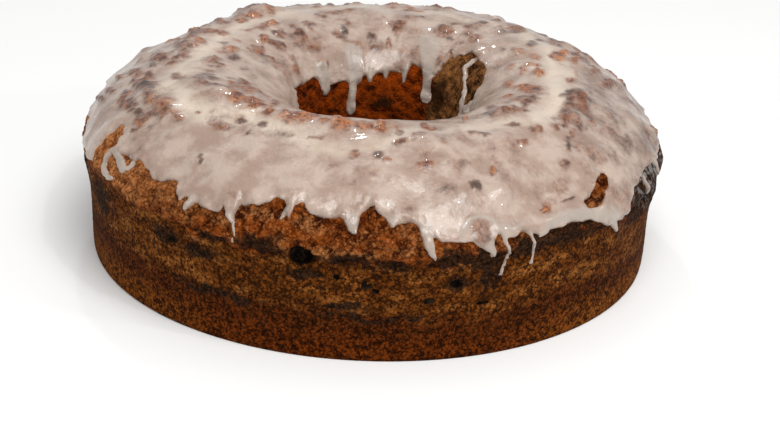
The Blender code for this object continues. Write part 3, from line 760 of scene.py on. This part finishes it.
def smooth_most(first, second, melt):
    """The larger of two values, with a soft join where they are close."""
    near = max(melt - abs(first - second), 0.0) / melt
    return max(first, second) + near * near * melt / 4


def in_sheet(angle, length, edge, scale, side):
    """How far inside the sheet's edge a place lies, in metres. Side is 1 outside the ring, -1 in its hole."""
    reach = 0.35
    slope = (closed_curve(edge, turned(angle + reach)) - closed_curve(edge, turned(angle - reach)))
    slope /= math.radians(2 * reach) * scale * 1000
    return side * (length - closed_curve(edge, angle) / 1000) / math.hypot(1.0, slope)


def glazed(angle, length):
    """How far inside the glaze a place lies, in metres along the crust. Below 0 the crust is bare."""
    outside = length < CREST_LENGTH
    edge, runs, scale, side = ((OUTER_EDGE, OUTER_RUNS, OUTER_SCALE, 1) if outside
                               else (INNER_EDGE, INNER_DRIPS, INNER_SCALE, -1))
    sheet = in_sheet(angle, length, edge, scale, side)
    if sheet > FAR_INSIDE:
        return sheet
    place = around(angle, *on_section(length))
    wavy = wave(place, 0.0032, 0.00045) + wave(place, 0.0075, 0.0005)
    cover = smooth_most(sheet + wavy, in_run(angle, length, runs_near(angle, runs), scale), MELT)
    if outside:
        cover = -smooth_most(-cover, in_run(angle, length, BARE_PLACES, scale) + wavy, MELT / 2)
    return cover


def char_and_shadow_at(angle, length):
    """How charred and dark the wall is at a place, from 0 to 1, with painted shadow under the raised glaze
    strip at the front right.
    """
    place = around(angle, *on_section(length))
    shift = noise.noise_vector(place / 0.0070)
    streaks = max(in_oval(angle + 1.2 * shift.x, length + 0.0025 * shift.y, streak, 0.10, 1.55)
                  for streak in DARK_STREAKS)
    right_side = eased(angle, 55, 63) * (1 - eased(angle, 98, 112)) * eased(length, 0.031, 0.040)
    # Painted shadow: the wall under the raised strip of glaze is darkened as if the strip shaded it.
    shadow_under_strip = eased(angle, 24, 29) * (1 - eased(angle, 56, 62)) * eased(length, 0.039, 0.045)
    shadow_under_strip *= 1 - eased(length, 0.0520, 0.0555)
    return max(streaks, right_side, 0.8 * shadow_under_strip)


cake_mesh = spun_grid([turned(angle) for angle in stepped(CAKE_COLUMNS)],
                      [0.0] + stepped(CAKE_ROWS) + [FULL_LENGTH], closed=True)
angle_of = cake_mesh.verts.layers.float["angle"]
length_of = cake_mesh.verts.layers.float["length"]
crag_of, dark_of, hole_of, smear_of, deep_of, gap_shade_of, pale_of, tan_of, side_of = new_marks(
    cake_mesh, "crag", "dark", "hole", "smear", "deep", "gap_shade", "pale", "tan", "side")
for vertex in cake_mesh.verts:
    angle, length = vertex[angle_of], vertex[length_of]
    covered = glazed(angle, length) if length > LOWEST_DRIP else -1.0
    vertex.co = on_crust(angle, length, crust_out(angle, length) - SINK * eased(covered, 0.0015, 0.0040))
    vertex[crag_of] = crag_share(angle, length)
    vertex[dark_of] = char_and_shadow_at(angle, length)
    vertex[deep_of] = in_pit(angle, length)[1]
    place = around(angle, *on_section(length))
    # Painted shade: this mark is 1 in the hollows between the crumbs, where the crags' colour is darkened.
    vertex[gap_shade_of] = 1 - 0.6 * crumbs(place, BIG_CRUMB) - 0.4 * crumbs(place, SMALL_CRUMB)
    # The crags are paler at the front left, the hole is tan at its far right, and the wall's foot is paler
    # at the sides.
    vertex[pale_of] = eased(angle, -32, -62) * eased(length, 0.046, 0.054) * (1 - eased(length, 0.080, 0.090))
    vertex[tan_of] = eased(length, 0.120, 0.130) * eased(angle, 98, 105) * (1 - eased(angle, 142, 150))
    vertex[side_of] = eased(abs(angle), 22, 55) * (1 - eased(abs(angle), 100, 130))
    vertex[hole_of] = eased(length, 0.125, 0.140)
    # Thin glaze is smeared over the charred crust at the right.
    vertex[smear_of] = eased(covered, -0.010, -0.001) * eased(abs(angle - 76), 22, 8)
turn_outward(cake_mesh)

crust = Finish("baked_crust")
place = crust.node("ShaderNodeTexCoord", output=3)
height = crust.node("ShaderNodeSeparateXYZ", inputs={0: place}, output=2)
flat = crust.moved(place, None, (1.0, 1.0, 2.4))
shake = crust.node("ShaderNodeTexNoise", inputs={"Vector": place, "Scale": 420.0, "Detail": 3.0}, output=1)
shaken = crust.moved(place, shake, (0.0018, 0.0018, 0.0018))
fine = crust.grain(place, 0.0008, 3.0, 0.62)
crumb = crust.grain(place, 0.0034, 3.0, 0.65)
blotch = crust.grain(flat, 0.0150, 4.0, 0.65)
wide = crust.grain(place, 0.0450, 2.0, 0.50)
granule = crust.cells(shaken, 0.0013)
granule_tone = crust.cells(shaken, 0.0013, output=1)
nugget = crust.cells(shaken, 0.0036)
# The wall: a fine grain with dark pores, redder at the foot, tan in patches half way up.
level = height + (wide - 0.5) * 0.014 + (blotch - 0.5) * 0.006
foot = 1 - crust.rise(level, 0.004, 0.018)
middle = crust.rise(level, 0.017, 0.026)
foot_dark = crust.mix(crust.mark("side"), (34, 9, 0), (46, 18, 2))
foot_light = crust.mix(crust.mark("side"), (119, 54, 6), (150, 84, 22))
dark_crumb = crust.mix(middle, crust.mix(foot, (31, 11, 0), foot_dark), (43, 19, 3))
light_crumb = crust.mix(middle, crust.mix(foot, (102, 47, 9), foot_light),
                        crust.mix(crust.rise(blotch, 0.46, 0.64), (122, 65, 16), (166, 102, 44)))
grains = fine * 0.60 + (0.62 - granule) * 0.25 + granule_tone * 0.30
grains = crust.rise(grains + (crumb - 0.5) * 0.22 + (blotch - 0.5) * 0.20, 0.32, 0.70)
wall = crust.mix(grains, dark_crumb, light_crumb)
# The crags of the crown: bigger crumbs, orange on top and dark between. The dark between them is partly the
# crust's own tone and partly painted shade, which the gap mark lays in the hollows between the crumbs.
lift = fine * 0.50 + (0.62 - granule) * 0.22 + granule_tone * 0.22 + (0.62 - nugget) * 0.20
lift = lift + (1 - crust.mark("gap_shade")) * 0.26
crag_deep = crust.mix(crust.mark("pale"), (50, 16, 2), (108, 54, 23))
crag_top = crust.mix(crust.rise(blotch, 0.44, 0.62), (156, 78, 25), (176, 112, 62))
crag_top = crust.mix(crust.mark("pale"), crag_top, (214, 144, 88))
crags = crust.mix(crust.rise(lift, 0.32, 0.86), crag_deep, crag_top)
# Painted highlight: the brightest grain tops of the crags are turned pale tan, as glints.
crumb_glint_paint = crust.rise(granule_tone + fine * 0.6, 0.92, 1.14)
crags = crust.mix(crumb_glint_paint * 0.20, crags, (206, 134, 78))
skin = crust.mix(crust.mark("crag"), wall, crags)
# Charred streaks through both, and the painted shadow under the glaze strip at the front right.
ragged = crust.mark("dark") + (crumb - 0.5) * 2.2 + (fine - 0.5) * 1.0 + (blotch - 0.5) * 1.2
ragged = crust.rise(ragged, 0.28, 0.76)
char_and_shade = crust.mix(grains, (17, 10, 6), (62, 38, 21))
skin = crust.mix(ragged * 0.94, skin, char_and_shade)
# The hole, whose crumb stayed moist and brown.
moist = fine * 0.6 + (0.62 - nugget) * 0.25 + (crumb - 0.5) * 0.7 + (blotch - 0.5) * 0.5
tube = crust.mix(crust.rise(moist, 0.10, 0.50),
                 crust.mix(crust.mark("tan"), (42, 12, 0), (24, 12, 4)),
                 crust.mix(crust.mark("tan"), (142, 58, 5), (146, 96, 52)))
tube = crust.mix(ragged * 0.9, tube, crust.mix(fine, (14, 6, 2), (58, 32, 14)))
skin = crust.mix(crust.mark("hole"), skin, tube)
# Smears of glaze over it all, and painted shade that darkens the inside of the holes in the wall.
streaks = crust.rise(crust.grain(place, 0.0030, 4.0, 0.65), 0.47, 0.60)
skin = crust.mix(crust.mark("smear") * streaks * 0.85, skin, (146, 142, 138))
# Painted shade: the holes in the wall grow nearly black towards their middle.
pit_shade_paint = crust.mix(crust.rise(crumb, 0.45, 0.65), (14, 10, 7), (48, 34, 22))
skin = crust.mix(crust.rise(crust.mark("deep"), 0.15, 0.60), skin, pit_shade_paint)
height_of_grain = fine * 0.7 + (1 - granule) * 0.4 + (1 - nugget) * crust.mark("crag") * 0.6
bump = crust.node("ShaderNodeBump", inputs={"Strength": 1.0, "Distance": 0.0016, "Height": height_of_grain})
crust.set(Base_Color=skin, Roughness=0.75 + 0.2 * (1 - grains), Specular_IOR_Level=0.05, Normal=bump)

cake = put_in_scene("baked_ring", cake_mesh, crust)
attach(cake, "root")
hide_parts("cake")

# The sugar glaze, poured over the warm crown. It is thin and see-through over the lumps, white where it is
# deep: in the crack round the crest, in the beads along its edge, and in the drips that ran down and set.
# How deep the glaze is as a film, in the crack, in a fold and at its round edge, and how it meets the crust.
FILM = 0.0009
POOL = 0.0019
FOLD = 0.0010
BEAD = 0.0015
BEAD_REACH = 0.0016
TUCK = 0.00035
SKIN = 0.00012
THICKNESS = 0.0011
SNAP = 0.00008
VEIL = 0.80
# The glaze that pooled along the crack: angle and half width, then angle and how white it looks.
POOL_WIDTH = (
    (-170, 0.003), (-110, 0.005), (-70, 0.006), (-45, 0.0058), (-25, 0.005), (-10, 0.0036), (8, 0.0028),
    (30, 0.0036), (48, 0.005), (75, 0.0066), (100, 0.0066), (125, 0.0045), (155, 0.003))
POOL_DEPTH = (
    (-170, 0.6), (-110, 0.9), (-50, 1), (-28, 0.8), (-12, 0.45), (15, 0.5), (40, 0.7), (55, 1), (100, 1),
    (130, 0.7))
GLAZE_COLUMNS = ((-97, 97, 0.5), (97, 263, 0.9))
GLAZE_ROWS = ((0.033, 0.047, 0.0014), (0.047, 0.072, 0.001), (0.072, 0.133, 0.00185),
              (0.133, 0.174, 0.0014))
# How far inside the sheet's edge its mesh is cut again, for the rounding of its bead.
ROUNDING = (0.0009, 0.0004)


def pool_at(angle, length):
    """How much of the pooled glaze lies at a place, 1 in the middle of the crack."""
    radius, height = on_section(length)
    if length < WIDE_LENGTH + 0.010:
        return 0.0
    away = radius - closed_curve(CRACK, angle) + wave(around(angle, radius, height), 0.011, 0.004)
    away /= closed_curve(POOL_WIDTH, angle)
    return math.exp(-away * away) * closed_curve(POOL_DEPTH, angle)


def in_loop(angle, length):
    """1 in the thin film that hangs inside the loop at the front."""
    if not 10 < angle < 30:
        return 0.0
    return in_oval(angle, length, FILM_OF_LOOP, 0.6, 1.0)


def glaze_out(angle, length, cover):
    """How far the glaze's face stands out of the plain turned shape, and how much of a fold lies there."""
    radius, height = on_section(length)
    place = around(angle, radius, height)
    bare = crust_out(angle, length)
    under = lumpy_out(angle, length)
    film = FILM * (1 + wave(place, 0.0160, 0.45, (0, 0, 4.4)))
    film += POOL * in_crack(angle, radius) if length > WIDE_LENGTH + 0.010 else 0.0
    fold = 0.0
    if -5 < angle < 60 and length < 0.075:
        film *= 1 - 0.5 * in_loop(angle, length)
        fold = eased(in_run(angle, length, FOLDS, OUTER_SCALE), -0.0004, 0.0013)
    film += FOLD * fold
    film += wave(place, 0.0052, 0.00025) + wave(place, 0.0095, 0.0002)
    top = smooth_most(relief(angle, length) + film, under + SKIN, MELT / 2)
    near_rim = 1 - min(max(cover / BEAD_REACH, 0.0), 1.0)
    bead = bare + BEAD * math.sqrt(1 - near_rim * near_rim) - TUCK
    out = bead + (top - bead) * eased(cover, 0.0006, 0.0042)
    return out, fold


def crossed_edges(mesh, level, values):
    """The edges whose two ends lie on either side of a level."""
    return [edge for edge in mesh.edges
            if (values[edge.verts[0]] - level) * (values[edge.verts[1]] - level) < 0]


def cut_along(mesh, level, values):
    """Splits the faces along the line where the values are level, and adds the new vertices' values."""
    for vertex in mesh.verts:
        if abs(values[vertex] - level) < SNAP:
            values[vertex] = level
    crossed = crossed_edges(mesh, level, values)
    crossed_faces = dict.fromkeys(face for edge in crossed for face in edge.link_faces)
    bmesh.ops.triangulate(mesh, faces=list(crossed_faces))
    angle_of = mesh.verts.layers.float["angle"]
    length_of = mesh.verts.layers.float["length"]
    faces = {}
    for edge in crossed_edges(mesh, level, values):
        first, second = edge.verts
        share = (level - values[first]) / (values[second] - values[first])
        faces.update(dict.fromkeys(edge.link_faces))
        angle = turned(first[angle_of] + turned(second[angle_of] - first[angle_of]) * share)
        length = first[length_of] + (second[length_of] - first[length_of]) * share
        made = bmesh.utils.edge_split(edge, first, share)[1]
        made[angle_of] = angle
        made[length_of] = length
        values[made] = level
    for face in faces:
        on_line = [vertex for vertex in face.verts if values[vertex] == level]
        if len(on_line) == 2 and len(face.verts) > 3:
            bmesh.utils.face_split(face, on_line[0], on_line[1])


glaze_mesh = spun_grid([turned(angle) for angle in stepped(GLAZE_COLUMNS)], stepped(GLAZE_ROWS), closed=False)
angle_of = glaze_mesh.verts.layers.float["angle"]
length_of = glaze_mesh.verts.layers.float["length"]
veil_of, pool_of, dark_of, warm_of, white_of, out_of = new_marks(
    glaze_mesh, "veil", "pool", "dark", "warm", "white", "out")
cover = {vertex: glazed(vertex[angle_of], vertex[length_of]) for vertex in glaze_mesh.verts}
bare_faces = [face for face in glaze_mesh.faces if max(cover[vertex] for vertex in face.verts) < 0]
bmesh.ops.delete(glaze_mesh, geom=bare_faces, context="FACES")
cut_along(glaze_mesh, 0.0, cover)
bare_points = [vertex for vertex in glaze_mesh.verts if cover[vertex] < 0]
bmesh.ops.delete(glaze_mesh, geom=bare_points, context="VERTS")
cover = {vertex: cover[vertex] for vertex in glaze_mesh.verts}
for level in ROUNDING:
    cut_along(glaze_mesh, level, cover)
for vertex in glaze_mesh.verts:
    angle, length = vertex[angle_of], vertex[length_of]
    out, fold = glaze_out(angle, length, cover[vertex])
    place = around(angle, *on_section(length))
    _, show, dark, warm = lump_at(angle, length, place)
    pool = pool_at(angle, length)
    rough = roughness_at(angle, length, place) * (0.5 + 0.5 * crumbs(place, CRAG_CRUMB)) * (1 - 0.85 * pool)
    zone_warmth = max(in_oval(angle, length, zone, 0.5, 1.2) for zone in WARM_ZONES)
    show = max(show, min(1.0, 1.15 * rough))
    runs, scale = (OUTER_RUNS, OUTER_SCALE) if length < CREST_LENGTH else (INNER_DRIPS, INNER_SCALE)
    loop = in_loop(angle, length)
    drip = eased(in_run(angle, length, runs_near(angle, runs), scale), -0.0006, 0.0010) * (1 - loop)
    # The glaze is cloudy, evener at the front, milkier at the front left and thinner on the right shoulder.
    cloud = wave(place, 0.0150, 0.30, (0, 9.1, 0)) + wave(place, 0.0062, 0.24)
    front = eased(60 - abs(angle), 0, 20) * (1 - eased(length, 0.082, 0.096)) * (length < CREST_LENGTH)
    shoulder = eased(angle, 50, 66) * (1 - eased(angle, 96, 110)) * (length < CREST_LENGTH - 0.006)
    milky = eased(26 - abs(angle + 34), 0, 12) * (length < 0.092)
    cloudy = VEIL + cloud * (1 - 0.55 * front) - 0.26 * shoulder + 0.40 * milky
    vertex.co = on_crust(angle, length, out)
    vertex[out_of] = out
    vertex[veil_of] = max(cloudy * (1 - 0.92 * show) * (1 - 0.45 * loop),
                          0.95 * pool * (1 - show), 0.9 * drip, 0.95 * fold)
    vertex[pool_of] = pool
    vertex[dark_of] = max(dark, 0.6 * shoulder * (1 - show))
    vertex[warm_of] = max(warm, 0.8 * zone_warmth)
    vertex[white_of] = max(fold, 0.8 * drip)
bmesh.ops.triangulate(glaze_mesh, faces=[face for face in glaze_mesh.faces if len(face.verts) > 4])
under = bmesh.ops.extrude_face_region(glaze_mesh, geom=glaze_mesh.faces[:], use_keep_orig=True)
for vertex in under["geom"]:
    if isinstance(vertex, bmesh.types.BMVert):
        angle, length = vertex[angle_of], vertex[length_of]
        vertex.co = on_crust(angle, length, vertex[out_of] - THICKNESS)
turn_outward(glaze_mesh)

# The lumps beneath it, brown or orange or dark, the milky sugar itself, and how much of it veils them.
sugar = Finish("sugar_glaze")
place = sugar.node("ShaderNodeTexCoord", output=3)
mottle = sugar.grain(place, 0.0110, 3.0, 0.60)
spots = sugar.grain(place, 0.0038, 3.0, 0.60)
speck = sugar.grain(place, 0.0014, 2.0, 0.60)
ripple = sugar.grain(place, 0.0060, 2.0, 0.50)
crumbly = sugar.rise(spots * 0.55 + speck * 0.45, 0.40, 0.60)
brown = sugar.mix(crumbly, (72, 35, 17), (137, 82, 49))
orange = sugar.mix(crumbly, (98, 45, 13), (172, 102, 44))
under_glaze = sugar.mix(sugar.mark("warm"), brown, orange)
under_glaze = sugar.mix(sugar.mark("dark") * 0.85, under_glaze, (62, 50, 44))
milk = sugar.mix(sugar.rise(mottle, 0.36, 0.64), (157, 133, 118), (183, 163, 149))
milk = sugar.mix(sugar.mark("pool"), milk, (206, 189, 171))
milk = sugar.mix(sugar.mark("white") * 0.8, milk, (168, 157, 147))
veil = sugar.mark("veil") + (mottle - 0.5) * 0.40 + (spots - 0.5) * 0.44 + (speck - 0.5) * 0.26
veil = sugar.rise(veil, 0.05, 0.85) * 0.94 + 0.03
bump = sugar.node("ShaderNodeBump", inputs={"Strength": 0.6, "Distance": 0.0011,
                                            "Height": ripple * 0.7 + spots * 0.6 + speck * 0.42})
sugar.set(Base_Color=sugar.mix(veil, under_glaze, milk), Roughness=0.18 + 0.28 * spots, Normal=bump,
          Specular_IOR_Level=0.4, Coat_Weight=0.40, Coat_Roughness=0.05,
          Subsurface_Weight=0.12, Subsurface_Radius=(1.0, 0.6, 0.4), Subsurface_Scale=0.0015)

glaze = put_in_scene("sugar_glaze", glaze_mesh, sugar)
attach(glaze, "root")
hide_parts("glaze")
